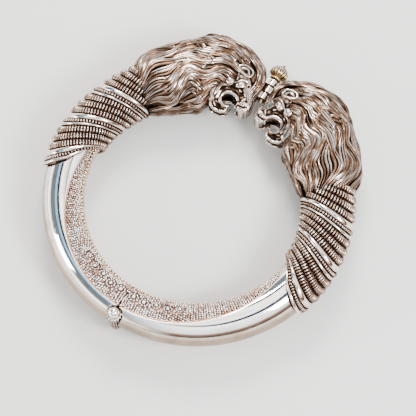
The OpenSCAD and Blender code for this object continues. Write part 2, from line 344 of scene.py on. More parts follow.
def polished_tube(side):
    """Half tube of sheet, rolled in along the lining, and the plate that closes it at the hinge."""
    pile = Pile()
    rows, columns, first, wall, lip = 150, 56, 97.0, 0.9, 0.16
    sheet = []
    relief = []
    for step in np.linspace(0, 1, rows):
        angle = first + (180 - first) * step
        edge = parting_angle(angle)
        r = tube_radius(angle)
        across = np.linspace(-edge + 1.5, edge - 1.5, columns)
        corner = [edge - 0.6, edge, edge]
        rolled = [r - 0.04, r - lip, r - wall]
        inner = np.linspace(edge, -edge, columns // 2)
        around = np.concatenate([across, corner, inner, [-edge, -edge, -edge + 0.6]])
        radii = np.concatenate([
            np.full(columns, r), rolled, np.full(columns // 2, r - wall), rolled[::-1]
        ])
        reach = RING_R + radii * np.cos(np.radians(around))
        end = seam_angle(reach)
        sheet.append(on_tube(first + (end - first) * step, around, radii))
        # Painted reflection: near round angle 0 the tube's outer side is painted darker and warmer,
        # standing in for dark surroundings reflected in its polish
        shade = np.clip((np.abs(around) - 15) / 33, 0.27, 1.0)
        shade[radii < r - lip / 2] = 0.7
        shade[radii < r - wall / 2] = 0.1
        relief.append(shade)
    pile.grid(sheet, np.array(relief), caps=True)
    around = np.arange(0, 360, 8)
    plate = [
        on_tube(seam_angle(RING_R + r * np.cos(np.radians(around))) - 0.2, around, r)
        for r in (0.01, 1.5, 3.0, TUBE_R - 0.95)
    ]
    pile.grid(plate, 0.5)
    hinge_knuckles(side)
    name = HALF[side] + "_tube"
    return pile.build(name + "_polished", side, "polished_silver", polished, [name])


def set_out(x, y, level, axis):
    """Points round an upright axis, or round one along Y."""
    x, y, level = np.broadcast_arrays(x, y, level)
    return np.stack((x, y, level) if axis == "z" else (y, level, x), -1)


def turned(pile, profile, centre, axis="z", sides=48, relief=1.0, ribs=0, rib_depth=0.0):
    """Turned form round an axis through centre, from rows of distance along the axis and radius."""
    x, y = np.cos(circle(sides)), np.sin(circle(sides))
    valley = 0.5 - 0.5 * np.cos(ribs * circle(sides))
    rows = []
    for along, r in profile:
        radius = r * (1 - rib_depth * valley)
        rows.append(set_out(radius * x, radius * y, along, axis) + np.asarray(centre))
    pile.grid(rows, relief * (1 - 0.95 * valley))


def bead_circle(pile, centre, radius, count, size, level, axis="z", lean=0.0):
    """Circle of beads round an axis through centre, which lean along it."""
    x, y = np.cos(circle(count)), np.sin(circle(count))
    at = set_out(radius * x, radius * y, level, axis) + np.asarray(centre)
    beads(pile, at, set_out(x, y, lean, axis), set_out(-y, x, 0.0, axis), [size, size, size])


# Hinge barrel: half heights of the whole and of its middle knuckle, radii, gap at the knuckles
BARREL_H = 3.6
MIDDLE_H = 1.2
KNUCKLE_R = 1.85
PIN_R = 0.8
KNUCKLE_GAP = 0.15


def hinge_knuckles(side):
    """Ribbed barrel of the hinge: outer knuckles on the left half, the middle one on the right."""
    pile = Pile()
    centre = (0, RING_Y - HINGE_R, MID_Z)
    spans = [(-MIDDLE_H, MIDDLE_H)] if side > 0 else [
        (MIDDLE_H + KNUCKLE_GAP, BARREL_H), (-BARREL_H, -MIDDLE_H - KNUCKLE_GAP)
    ]
    bore, bevel = PIN_R + 0.06, 0.2
    for low, high in spans:
        profile = [
            (low, bore), (low, KNUCKLE_R - bevel), (low + bevel, KNUCKLE_R),
            (high - bevel, KNUCKLE_R), (high, KNUCKLE_R - bevel), (high, bore), (low, bore)
        ]
        turned(pile, profile, centre, sides=96, ribs=16, rib_depth=0.12)
    pile.build(HALF[side] + "_hinge_knuckles", side, "polished_silver", wired)


# Granulated lining


def lining_frame(angle, round_angle, r):
    """Point of the lining with its outward normal and the direction along the ring."""
    at = on_tube(angle, round_angle, r)
    up = at - on_ring(angle, RING_R)
    turn = np.radians(angle)
    along = np.stack(np.broadcast_arrays(np.cos(turn), -np.sin(turn), 0 * turn), -1)
    return at, up, along


# Ring angles between which the grains run, from under the collar to the hinge
LINING_FROM = 91.0
LINING_TO = 179.4
LINING_R = 4.86
SHEET = 0.5
EDGE_BEAD = 0.48
EDGE_PITCH = 1.02
GRAIN_R = 0.37
GRAIN_PITCH = 0.62
SOLDER_R = 0.27
# Distance of the grains from the ring's centre, and the millimetres in a degree there
BAND_REACH = 32.5
MM_PER_DEGREE = 0.567
# Rosettes near the hinge: ring angle, share of the way across the band, radius
ROSETTES = [
    (176.6, 0.55, 1.1), (171.4, 0.5, 1.05), (166.0, 0.56, 1.0), (160.6, 0.5, 0.95), (155.4, 0.56, 0.85)
]
PETALS = 9
# Degrees round the lining's section in a millimetre
ARC = math.degrees(1 / LINING_R)


def edge_at(angle):
    """Round angle of the edge beads, which run nearer to the middle plane towards the collars."""
    return 151 + 0.17 * (180 - angle)


def bead_row(pile, flip):
    """Row of edge beads along the ring, on the upper or the lower side."""
    reach = RING_R + LINING_R * math.cos(math.radians(edge_at(180)))
    last = 180 - math.degrees((EDGE_BEAD + SEAM) / reach)
    angles = np.arange(last, LINING_FROM + 1, -math.degrees(EDGE_PITCH / reach))
    at, up, along = lining_frame(angles, flip * edge_at(angles), LINING_R + 0.5 * EDGE_BEAD)
    beads(pile, at, up, along, [EDGE_BEAD * 0.98, EDGE_BEAD * 0.98, EDGE_BEAD])


def solder_line(pile, flip):
    """Copper-red line of solder where the lining meets the tube, on the upper or the lower side."""
    angles = np.linspace(LINING_FROM, 179.0, 90)
    edge = parting_angle(angles) + 0.15 * ARC
    at, up, along = lining_frame(angles, flip * edge, LINING_R + 0.35 * SOLDER_R)
    up, turn = unit(up), circle(8)[:, None]
    section = up[:, None] * np.cos(turn) + np.cross(up, along)[:, None] * np.sin(turn)
    pile.grid(at[:, None] + SOLDER_R * section, 0.9, caps=True)


def side_band(flip):
    """Edges of the band between the tube and the edge beads, on the upper or the lower side."""
    return lambda angle: (flip * (parting_angle(angle) + 0.3 * ARC), flip * (edge_at(angle) - 0.45 * ARC))


def middle_band(angle):
    """Edges of the band between the two rows of edge beads."""
    return edge_at(angle) + 0.45 * ARC, 360 - edge_at(angle) - 0.45 * ARC


def band(pile, band_edges, rosettes, rng):
    """Grains set close together over a band of the lining, round its rosettes."""
    centres, grains = [], []
    for angle, share, size in rosettes:
        low, high = band_edges(angle)
        middle = low + (high - low) * share
        centres.append((angle, middle, size))
        grains.append((angle, middle, size * 0.55, 1.3))
        for petal in range(PETALS):
            turn = 2 * math.pi * petal / PETALS
            across, along = size * math.sin(turn) * ARC, math.degrees(size * math.cos(turn) / 32.0)
            grains.append((min(angle + along, 179.3), middle + across * 0.9, size * 0.31, 1.0))
    columns = np.arange(LINING_TO, LINING_FROM + 1, -math.degrees(GRAIN_PITCH / BAND_REACH))
    for column, angle in enumerate(columns):
        low, high = band_edges(angle)
        count = max(1, round(abs(high - low) / (GRAIN_PITCH * 0.93 * ARC)))
        for k in range(count):
            row = low + (high - low) * (k + 0.25 + 0.5 * (column % 2)) / count
            away = [math.hypot((angle - a) * MM_PER_DEGREE, (row - m) / ARC) - r for a, m, r in centres]
            if min(away, default=9.0) > 0.5:
                shift = rng.uniform(-0.12, 0.12, 2)
                size, tone = GRAIN_R * rng.uniform(0.85, 1.08), rng.uniform(0.45, 1.3)
                grains.append((angle + shift[0], row + 4 * shift[1], size, tone))
    angles, rounds, sizes, tones = np.array(grains).T
    at, up, along = lining_frame(angles, rounds, LINING_R + 0.35 * sizes)
    beads(pile, at, up, along, np.stack([sizes, sizes, sizes * 1.1], -1), GRAIN, tones)


def lining(side):
    """Lining of one half: its sheet with the grains, the rows of edge beads and the solder."""
    node = HALF[side] + "_lining"
    sheet = Pile()
    rows = []
    for step in np.linspace(0, 1, 90):
        edge = parting_angle(LINING_FROM + (180 - LINING_FROM) * step)
        outer = np.linspace(edge + 0.4, 360 - edge - 0.4, 60)
        around = np.concatenate([outer, outer[::-1]])
        radii = np.repeat([LINING_R, LINING_R - SHEET], len(outer))
        end = 180 - np.degrees(SEAM / (RING_R + radii * np.cos(np.radians(around))))
        rows.append(on_tube(LINING_FROM + (end - LINING_FROM) * step, around, radii))
    sheet.grid(rows, 0.25, caps=True)
    rng = np.random.default_rng(3)
    for flip in (1, -1):
        band(sheet, side_band(flip), ROSETTES, rng)
    band(sheet, middle_band, [], rng)
    sheet.build(node + "_granules", side, "granulated_silver", granulated, [node])
    edge, line = Pile(), Pile()
    for flip in (1, -1):
        bead_row(edge, flip)
        solder_line(line, flip)
    edge.build(node + "_edge_beads", side, "granulated_silver", edge_gold)
    line.build(node + "_solder", side, "granulated_silver", solder)


# Wire collars


# Ring angle of the collar's end, and the tilt of its rings along the ring, outside and on top
COLLAR_END = 103.9
TILT_OUT = 5.25
TILT_TOP = 4.25
# Ring angle, radius of the centre line, radius over the wires
COLLAR = np.array([
    [54, 33.8, 7.2],
    [65, 33.9, 7.15],
    [75, 34.1, 7.0],
    [85, 34.4, 6.85],
    [95, 34.5, 6.75],
    [110, 34.5, 6.7],
])
# One turn of wires from the tube's end on: kind, ring angle that it takes
WIRES = [("plain", 1.4), ("beaded", 2.0), ("band", 2.8), ("coil", 3.6), ("coil", 3.6), ("coil", 3.6)]
WIRE_RINGS = 19
# Rings past this angle lie at the tube's end, where they give way to the lining
OVER_LINING = 96
# Ring angle where the mane ends, and its tilt
MANE_END = 58.3
MANE_TILT = 2.8


def mane_end(round_angle):
    return MANE_END - MANE_TILT * np.cos(np.radians(round_angle))


def collar_point(angle, round_angle, height=0.0):
    centre = np.interp(angle, COLLAR[:, 0], COLLAR[:, 1])
    r = np.interp(angle, COLLAR[:, 0], COLLAR[:, 2])
    return on_tube(angle, round_angle, r + height, centre)


def ring_place(middle, round_angle):
    """Ring angle of a tilted ring of wire. The rings at the tube's end close up over the lining."""
    turn = np.radians(round_angle)
    closing = np.maximum(0, -np.cos(turn)) * 3.1 * max(0.0, (middle - 96.5) / 4.5)
    return middle + TILT_OUT * np.cos(turn) + TILT_TOP * np.sin(turn) - closing


def wire_ring(wires, coils, kind, middle, span):
    """One closed ring of wire, tilted round the tube. Only what stands clear of the mane is made."""
    if kind == "plain":
        thin_wire(wires, middle, 0.36, -0.3, until=127 if middle > OVER_LINING else 180)
        return
    if kind == "band":
        thin_wire(wires, middle, 0.78, -0.45, flat=0.6)
        return
    count, form, sink, sizes = 60, BEAD, -0.34, (0.31, 0.46, 0.5)
    if kind == "coil":
        width = math.radians(span) * RING_R / 2
        count, form, sink, sizes = 58, COIL_TURN, -0.84, (0.32, width * 0.9, 0.98)
    around = np.arange(count) * 360 / count + middle * 7
    angle = ring_place(middle, around)
    shown = angle > mane_end(around) - 0.5
    up = collar_point(angle, around, 1.0) - collar_point(angle, around)
    along = collar_point(ring_place(middle, around + 1), around + 1) - collar_point(angle, around)
    at = collar_point(angle, around, sink)
    stretch = np.linalg.norm(at - on_ring(angle, 0), axis=1) / RING_R
    shape = np.array(sizes) * np.stack([np.ones(count), stretch, np.ones(count)], -1)
    tone = 0.8 + 0.2 * np.sin(around[shown] * 7.3)
    beads(coils, at[shown], up[shown], along[shown], shape[shown], form, tone)


def thin_wire(pile, middle, half, sink, flat=1.0, until=180):
    """Plain wire of a half width, whose centre lies at a depth, up to a round angle on both sides."""
    count, sides = 120, 12
    around = np.linspace(-until, until, count + 1)
    turns = circle(sides)
    narrow = 1 - 0.7 * np.maximum(0, -np.cos(np.radians(around))) * (flat < 1 and middle > OVER_LINING)
    rows = []
    for turn in turns:
        shift = np.degrees(half * narrow * math.cos(turn) / RING_R)
        angle = np.maximum(ring_place(middle, around) + shift, mane_end(around) - 0.4)
        rows.append(collar_point(angle, around, sink + half * flat * math.sin(turn)))
    rows = np.array(rows).transpose(1, 0, 2)
    shade = np.broadcast_to(np.clip(0.35 + 1.1 * np.sin(turns), 0, 1), rows.shape[:2])
    pile.grid(rows, shade, caps=until < 180)


def collar(side):
    """Collar of one half: a dark bed with a wall at the tube's end, and its rings of wire."""
    wires, coils = Pile(), Pile()
    around = np.arange(0, 360, 5)
    start, end = ring_place(COLLAR_END, around) - 1.0, mane_end(around)
    rows = [collar_point(start + (end - start) * step, around, -0.9) for step in np.linspace(0, 1, 40)]
    rows += [on_tube(start + (end - start) * step, around, TUBE_R + 0.2) for step in np.linspace(1, 0, 12)]
    rows.append(rows[0])
    shade = np.zeros((len(rows), len(around)))
    shade[[0, -2, -1]] = 0.7
    wires.grid(rows, shade)
    middle = COLLAR_END
    for i in range(WIRE_RINGS):
        kind, span = WIRES[i % len(WIRES)] if i < WIRE_RINGS - 1 else ("coil", 3.6)
        wire_ring(wires, coils, kind, middle - span / 2, span)
        middle -= span
    node = HALF[side] + "_collar"
    wires.build(node + "_wires", side, "wire_silver", smooth_wire, [node])
    coils.build(node + "_coils", side, "wire_silver", wired)


# Lion heads

# Skin of the mane: ring angle, inner radius, outer radius, half width
MANE = np.array([
    [2.6, 33.6, 37.2, 2.4],
    [3.6, 32.4, 38.6, 3.7],
    [5.5, 31.4, 40.4, 4.6],
    [8.5, 30.6, 42.4, 5.2],
    [12.5, 30.2, 43.9, 6.0],
    [17, 29.6, 45.0, 6.8],
    [22, 28.4, 45.8, 7.3],
    [27, 26.4, 46.1, 7.6],
    [30, 25.3, 45.3, 7.7],
    [33, 24.9, 45.1, 7.7],
    [40, 24.9, 44.4, 7.6],
    [50, 25.5, 43.2, 7.5],
    [56, 26.2, 41.8, 7.3],
    [62, 27.0, 41.2, 7.2],
    [68, 27.1, 41.1, 7.1],
])


def skin(angle, round_angle, depth=0.0):
    """Point of the mane's skin, or at a depth under it."""
    inner, outer, half = (np.interp(angle, MANE[:, 0], MANE[:, k]) for k in (1, 2, 3))
    turn = np.radians(round_angle)
    r = (inner + outer) / 2 + ((outer - inner) / 2 - depth) * np.cos(turn)
    return on_ring(angle, r, (half - depth) * np.sin(turn))


# Guides of the mane's layers, each a flow of (ring angle, round angle) from its root to its tip
GROUND = [
    [(8, -3), (16, -3), (24, -2), (32, -2), (42, -2), (58, -3)],
    [(9, 34), (15, 32), (22, 26), (31, 24), (42, 20), (58, 26)],
    [(10, 62), (16, 58), (23, 50), (32, 44), (42, 42), (59, 54)],
    [(10, 90), (18, 80), (26, 70), (34, 64), (43, 65), (60, 86)],
    [(10.5, 107), (21, 96), (30, 88), (38, 84), (47, 94), (62, 112)],
    [(17, 120), (25, 112), (33, 105), (40, 114), (49, 130), (63, 140)],
    [(20, 136), (27, 130), (33, 130), (40, 144), (48, 152), (61, 156)],
    [(23, 158), (31, 162), (38, 158), (45, 162), (52, 159), (61, 165)],
    [(24, 181), (31, 179), (38, 181), (45, 179), (52, 181), (61, 180)],
]
CREST = [
    [(6, -3), (11, -3), (16, -2), (22, -2), (27, -1), (31, 0)],
    [(6, 34), (11, 32), (16, 28), (22, 22), (27, 19), (31, 18)],
    [(8, 64), (13, 62), (19, 56), (25, 45), (29, 34), (32, 28)],
    [(11, 78), (15, 73), (20, 67), (26, 57), (30, 46), (33, 37)],
    [(14, 88), (17, 85), (21, 79), (26, 72), (30, 60), (33, 46)],
    [(17, 101), (20, 94), (24, 88), (29, 75), (31, 62), (34, 52)],
]
BACK = [
    [(28, -3), (34, -2), (41, -2), (47, -2), (53, -2), (58, -3)],
    [(29, 20), (35, 16), (41, 20), (47, 14), (53, 18), (58, 22)],
    [(30, 40), (35, 33), (40, 35), (46, 25), (52, 28), (58, 42)],
    [(32, 58), (38, 52), (43, 50), (48, 46), (54, 57), (60, 74)],
    [(32, 74), (38, 68), (43, 66), (49, 68), (55, 80), (61, 98)],
    [(33, 82), (39, 79), (44, 79), (49, 86), (55, 95), (62, 106)],
]
LEAF = [
    [(10.5, 110), (19, 102), (26, 96), (33, 91), (39, 84), (44, 76)],
    [(11, 98), (20, 92), (27, 84), (34, 76), (39, 71), (44, 75)],
]
FLANK = [
    [(31, 88), (38, 88), (43, 90), (48, 101), (54, 108), (62, 112)],
    [(28, 100), (35, 98), (43, 99), (47, 112), (53, 126), (62, 134)],
    [(12, 116), (24, 106), (35, 105), (42, 116), (50, 138), (62, 143)],
    [(15, 132), (24, 119), (33, 117), (40, 130), (47, 150), (59, 153)],
    [(19, 141), (25, 129), (31, 124), (36, 134), (41, 150), (47, 158)],
    [(22, 150), (26, 144), (30, 144), (33, 152), (37, 160), (42, 166)],
]
UNDER = [
    [(23, 156), (30, 162), (37, 157), (44, 163), (52, 158), (61, 164)],
    [(24, 166), (30, 173), (37, 167), (44, 173), (52, 168), (61, 172)],
    [(25, 180), (30, 176), (37, 182), (44, 177), (52, 183), (60, 179)],
]
# Layers from the lowest to the top: guides, strands in each gap, strands in a lock, lift at the root
# and at the tip, sway of the waves in degrees
LAYERS = [
    (GROUND, 5, 3, -0.35, -0.3, 5.0),
    (UNDER, 2, 2, 0.0, 0.1, 5.0),
    (BACK, 4, 4, -0.05, 0.15, 6.5),
    (FLANK, 4, 4, 0.0, 0.15, 6.5),
    (LEAF, 5, 5, 0.2, 0.7, 3.0),
    (CREST, 6, 3, 0.2, 0.7, 3.5),
]
# Strands of the forehead: flows of (across, out from the ring's centre, height off the middle plane)
FOREHEAD = [
    [(2.5, 30.3, 0.3), (2.0, 32.0, 0.3), (1.85, 34.0, 0.3), (1.95, 36.2, 0.3), (2.5, 38.2, 0.3),
     (3.8, 40.2, 0.4), (6.0, 42.1, 0.5)],
    [(2.5, 30.3, 1.4), (2.05, 32.0, 1.5), (1.9, 34.0, 1.7), (2.0, 36.2, 1.9), (2.7, 38.1, 2.0),
     (4.1, 39.8, 2.1), (6.4, 41.5, 2.3)],
    [(2.7, 30.3, 2.6), (2.5, 32.0, 2.9), (2.3, 34.0, 3.1), (2.5, 36.1, 3.3), (3.3, 37.8, 3.5),
     (4.9, 39.2, 3.7), (7.4, 40.6, 4.1)],
    [(3.5, 31.3, 3.8), (3.4, 32.6, 4.1), (3.3, 34.2, 4.4), (3.7, 35.9, 4.6), (4.7, 37.3, 4.8),
     (6.4, 38.3, 5.0), (9.0, 39.3, 5.5)],
]
FOREHEAD_LOCK = 3
# Points along a lock
LOCK_ROWS = 26
# Short locks that lie over the layers on each side
TUFTS = 13
TUFT_ROWS = 16


def smooth_path(points, count):
    """Points along a curve through a few guide points, evenly spread from first to last."""
    points = np.array(points, float)
    ends = np.concatenate([[2 * points[0] - points[1]], points, [2 * points[-1] - points[-2]]])
    at = np.linspace(0, len(points) - 1 - 1e-6, count)
    i = at.astype(int)
    t = (at - i)[:, None]
    a, b, c, d = ends[i], ends[i + 1], ends[i + 2], ends[i + 3]
    return 0.5 * (2 * b + (c - a) * t + (2 * a - 5 * b + 4 * c - d) * t**2 + (3 * b - a - 3 * c + d) * t**3)


# Section of a strand: across, up and relief, with a fine groove along its crown
SECTION = np.array([
    [1.0, -0.3, 0.0],
    [0.84, 0.7, 0.4],
    [0.42, 1.4, 1.0],
    [0.0, 1.3, 0.85],
    [-0.42, 1.4, 1.0],
    [-0.84, 0.7, 0.4],
    [-1.0, -0.3, 0.0],
    [0.0, -2.2, 0.0],
])


def within_height(z):
    """Heights pressed softly to between the floor and the top of the head."""
    high, low = 2 * MID_Z - 0.5, 0.45
    raised = np.where(z < low, low + (z - low) * 0.4, z)
    return np.maximum(0.0, np.where(z > high, high + (z - high) * 0.5, raised))


def flow_at(flows, across, steps):
    """Places in a layer of flows: across between its guides, along by steps from 0 to 1."""
    last = flows.shape[1] - 1
    i = np.clip(across.astype(int), 0, len(flows) - 2)
    k = np.clip((steps * last).astype(int), 0, last - 1)
    u, t = (across - i)[:, None], (steps * last - k)[:, None]
    near = flows[i, k] * (1 - t) + flows[i, k + 1] * t
    far = flows[i + 1, k] * (1 - t) + flows[i + 1, k + 1] * t
    return near * (1 - u) + far * u


def strand(pile, centre, up, half, tone):
    """One strand of hair along a line, with a half width at each of its points."""
    along = unit(np.gradient(centre, axis=0))
    across = unit(np.cross(up, along))
    section = across[:, None] * SECTION[:, 0:1] + up[:, None] * SECTION[:, 1:2]
    rows = centre[:, None] + section * half[:, None, None]
    rows[..., 2] = within_height(rows[..., 2])
    # Painted highlights and painted shade: the brightness rises and falls in patches along the strand, on
    # top of its own tone
    wear_and_sheen = tone * (0.75 + 0.3 * np.sin(centre.sum(1) * 1.3 + 9 * centre[0, 2]))
    pile.grid(rows, SECTION[:, 2] * wear_and_sheen[:, None], caps=True)


def strands(pile, lines, in_lock, rng, tone=1.0):
    """Strands side by side, as wide as the space between them, gathered into locks."""
    centres, ups = (np.array(part) for part in zip(*lines))
    steps = np.linspace(0, 1, centres.shape[1])
    space = np.linalg.norm(np.gradient(centres, axis=0), axis=2)
    thin = np.minimum(1, 0.5 + 4 * steps) * np.minimum(1, 0.2 + (1 - steps) * 5)
    for k in range(len(centres)):
        place = (k % in_lock + 0.5) / in_lock * 2 - 1
        lift = 0.3 * (1 - place * place)
        half = np.clip(space[k] * 0.48, 0.14, 0.52) * thin * rng.uniform(0.85, 1.15)
        wear_and_sheen = tone * (1.05 - 0.25 * place * place) * rng.uniform(0.68, 1.05)
        strand(pile, centres[k] + ups[k] * (lift * thin)[:, None], ups[k], half, wear_and_sheen)


def wave(flow, late, sway):
    """Sway of the locks, which grows from the face on and fades out at the middle plane."""
    angle, turn = flow[:, 0], flow[:, 1]
    grown = np.clip((angle - 13) / 12, 0, 1) * np.clip(turn / 24, 0, 1) * np.clip((178 - turn) / 25, 0, 1)
    return sway * grown * np.sin(0.37 * angle - 0.022 * turn + late)


def ripple(steps, rng, size, low, high):
    return size * np.sin(steps * rng.uniform(low, high) + rng.uniform(0, 6))


def skin_line(flow, flip, depth):
    """Points of the skin along a flow, at a depth, and the directions out of it."""
    centre = skin(flow[:, 0], flow[:, 1] * flip, depth)
    return centre, unit(centre - skin(flow[:, 0], flow[:, 1] * flip, depth + 1.2))


def flows_between(guides, per_gap):
    """Smooth flows, a number of them in each gap between the guides."""
    flows = [smooth_path(g, LOCK_ROWS) for g in guides]
    shares = [(k + 0.5) / per_gap for k in range(per_gap)]
    return [near * (1 - share) + far * share for near, far in zip(flows, flows[1:]) for share in shares]


def tufts(pile, rng):
    """Short locks that curve over the mane, their roots and tips sunk into it."""
    ground = np.array([smooth_path(g, 60) for g in GROUND])
    steps = np.linspace(0, 1, TUFT_ROWS)
    arch = np.sin(math.pi * steps) ** 0.7
    for flip in (1, -1):
        for place in range(TUFTS):
            first = 0.7 + 6.6 * (place + rng.uniform(0, 1)) / TUFTS
            start, length = rng.uniform(0.0, 0.6), rng.uniform(0.3, 0.42)
            drift, sway, phase = rng.uniform(-0.4, 0.4), rng.uniform(0.08, 0.2), rng.uniform(0, 6)
            lines = []
            for k in range(rng.integers(3, 5)):
                apart = (k - 1.5) * 0.2 * (0.25 + 0.75 * arch)
                across = first + apart + drift * steps + sway * np.sin(4.5 * steps + phase)
                flow = flow_at(ground, np.clip(across, 0.02, 7.98), start + length * steps)
                flow[:, 1] += wave(flow, 0.0, 6.0)
                lines.append(skin_line(flow, flip, 0.9 - 0.8 * arch))
            strands(pile, lines, len(lines), rng)


def mane(side):
    """Mane of one lion: its dark bed, the layers of locks, the tufts and the forehead's hair."""
    pile = Pile()
    around = np.arange(0, 360, 5)
    start = 10.0
    length = mane_end(around) + 0.3 - start
    rows = [skin(start + length * step, around, 0.8) for step in np.linspace(0, 1, 60)]
    pile.grid(np.clip(rows, [-99, -99, 0.05], [99, 99, 99]), 0.0, caps=True)
    rng = np.random.default_rng(11)
    steps = np.linspace(0, 1, LOCK_ROWS)
    for guides, per_gap, in_lock, low_lift, tip_lift, sway in LAYERS:
        for flip in (1, -1):
            lines = []
            for i, flow in enumerate(flows_between(guides, per_gap)):
                if i % in_lock == 0:
                    shift, late = rng.uniform(-1.8, 1.8), rng.uniform(-0.45, 0.45)
                    raised = rng.uniform(-0.16, 0.16)
                    swell = ripple(steps, rng, rng.uniform(0.05, 0.22), 12, 18)
                    swell = swell + ripple(steps, rng, 0.07, 26, 34)
                flow[:, 0] += shift + rng.uniform(-0.8, 0.8)
                flow[:, 1] += wave(flow, late, sway) + rng.uniform(-0.5, 0.5)
                depth = 0.5 - (low_lift + (tip_lift - low_lift) * steps + raised + swell)
                depth += 0.6 * np.clip(1 - steps / 0.05, 0, 1) + 0.5 * np.clip(steps / 0.12 - 7.33, 0, 1)
                lines.append(skin_line(flow, flip, depth))
            strands(pile, lines, in_lock, rng, 0.8 if guides is GROUND else 1.0)
    tufts(pile, rng)
    for flip in (1, -1):
        lines = []
        for i, flow in enumerate(flows_between(FOREHEAD, FOREHEAD_LOCK)):
            flow = flow * [1, 1, flip]
            flow[:, 2] += 0.2 * flip * np.sin(steps * 15 + i // FOREHEAD_LOCK) * np.clip(4 * steps, 0, 1)
            inner = np.stack([np.maximum(6.5, flow[:, 0]), (flow[:, 1] + 35) / 2, 0 * steps], -1)
            lines.append((flow + [0, RING_Y, MID_Z], unit(flow - inner)))
        strands(pile, lines, FOREHEAD_LOCK, rng)
    node = HALF[side] + "_head"
    pile.build(HALF[side] + "_mane", side, "carved_silver", carved, [node])


# Face, from swept and turned forms that are fused into one skin. X runs away from the clasp, Y away
# from the wrist, both from the ring's centre; Z is the height off the middle plane.
# Forms that run across the middle plane: x, y, half spread, radius
FACE_CORE = {
    "bridge": [(6.7, 34.4, 3.4, 2.1), (4.6, 32.4, 2.7, 2.0), (3.1, 30.5, 2.0, 1.75), (2.4, 28.9, 1.7, 1.6)],
    "muzzle": [(2.4, 28.9, 1.7, 1.6), (2.1, 27.7, 1.6, 1.4), (2.7, 26.8, 1.6, 1.1)],
    "palate": [(3.3, 28.9, 2.0, 1.0), (5.7, 30.9, 2.9, 1.3), (8.8, 30.9, 3.4, 1.3), (10.8, 29.0, 3.4, 1.2)],
    "throat": [(10.8, 29.0, 3.4, 1.2), (11.8, 27.1, 2.8, 1.4), (11.2, 25.5, 2.0, 1.2)],
    "jaw": [(11.2, 25.5, 1.6, 1.1), (9.6, 24.6, 0.8, 0.95), (8.0, 24.5, 0.6, 0.9), (6.8, 24.9, 0.6, 0.8)],
}
# Forms on each side of the face: x, y, height, radius
FACE_SIDES = {
    "lip": [(4.2, 26.7, 2.0, 0.42), (4.5, 27.9, 2.4, 0.5), (5.6, 28.8, 2.7, 0.52),
            (7.2, 29.0, 2.9, 0.52), (8.6, 28.4, 2.9, 0.52), (9.25, 27.1, 2.7, 0.52),
            (8.9, 25.9, 2.4, 0.5), (8.0, 25.3, 2.1, 0.46), (7.0, 25.2, 1.8, 0.4),
            (6.2, 25.8, 1.6, 0.32)],
    "lip_fold": [(5.0, 30.0, 3.9, 0.3), (6.3, 30.4, 4.4, 0.32), (7.4, 29.9, 4.3, 0.3),
                 (8.6, 29.9, 4.4, 0.3), (9.9, 29.2, 4.4, 0.3), (10.6, 27.6, 4.0, 0.3),
                 (10.7, 26.1, 3.4, 0.3)],
    "pad_low": [(1.8, 27.0, 2.0, 0.8), (2.8, 26.4, 2.1, 0.75), (3.7, 26.3, 2.1, 0.6)],
    "pad_high": [(1.9, 28.1, 2.3, 0.85), (3.0, 27.7, 2.6, 0.85), (4.0, 27.6, 2.5, 0.65)],
    "jowl": [(5.0, 30.2, 2.9, 0.5), (7.0, 30.4, 3.3, 0.6), (9.0, 29.6, 3.5, 0.7), (10.1, 27.8, 3.3, 0.7),
             (10.0, 26.0, 2.8, 0.6)],
    "chin": [(6.3, 24.7, 1.3, 0.34), (6.7, 23.8, 1.3, 0.4), (8.1, 23.25, 1.3, 0.44),
             (9.8, 23.4, 1.4, 0.44), (10.9, 24.2, 1.7, 0.42), (10.7, 25.0, 2.0, 0.36),
             (9.4, 25.3, 2.0, 0.3), (8.2, 24.9, 1.7, 0.3), (7.0, 24.7, 1.4, 0.3),
             (6.3, 24.7, 1.3, 0.3)],
    "cheek": [(8.7, 31.0, 4.6, 1.25), (9.2, 31.0, 4.6, 1.25)],
    "temple": [(6.5, 33.6, 4.4, 0.85), (7.2, 33.7, 4.5, 0.85)],
    "eye": [(7.1, 30.8, 4.6, 0.2), (6.4, 31.3, 4.8, 0.55), (5.6, 31.9, 4.75, 0.6),
            (4.8, 32.5, 4.4, 0.3)],
    "eye_low": [(7.5, 30.3, 4.5, 0.22), (6.3, 30.6, 4.7, 0.26), (5.2, 31.3, 4.6, 0.26),
                (4.3, 32.3, 4.2, 0.22)],
    "eye_high": [(7.6, 31.1, 4.7, 0.22), (6.7, 32.1, 5.0, 0.3), (5.6, 32.9, 4.95, 0.32),
                 (4.4, 33.3, 4.4, 0.25)],
    "ear": [(4.7, 35.3, 4.65, 0.34), (5.1, 36.4, 4.9, 0.36), (6.6, 36.8, 5.2, 0.36),
            (8.2, 36.5, 5.5, 0.38), (8.8, 35.5, 5.6, 0.42), (8.0, 34.7, 5.45, 0.44),
            (6.4, 34.4, 5.15, 0.44), (5.1, 34.6, 4.85, 0.36), (4.7, 35.3, 4.65, 0.34)],
    "ear_fold": [(5.6, 35.2, 4.9, 0.36), (6.3, 35.9, 5.15, 0.4), (7.3, 35.9, 5.35, 0.44),
                 (7.9, 35.3, 5.4, 0.36), (7.0, 35.1, 5.2, 0.3)],
    "nostril": [(1.6, 28.9, 1.5, 0.5), (2.2, 29.3, 2.3, 0.5), (3.0, 29.1, 3.0, 0.42),
                (3.5, 28.4, 3.2, 0.35)],
    "nose_line": [(3.2, 29.9, 3.4, 0.25), (3.3, 31.0, 3.6, 0.25), (3.1, 32.0, 3.5, 0.25)],
}
# Teeth: x, y, height of the root, x, y of the point, root radius
TEETH = [
    (4.3, 27.0, 1.9, 4.7, 25.9, 0.42),
    (6.5, 25.2, 1.5, 5.9, 26.7, 0.42),
    (7.4, 25.2, 1.6, 7.3, 26.1, 0.28),
]
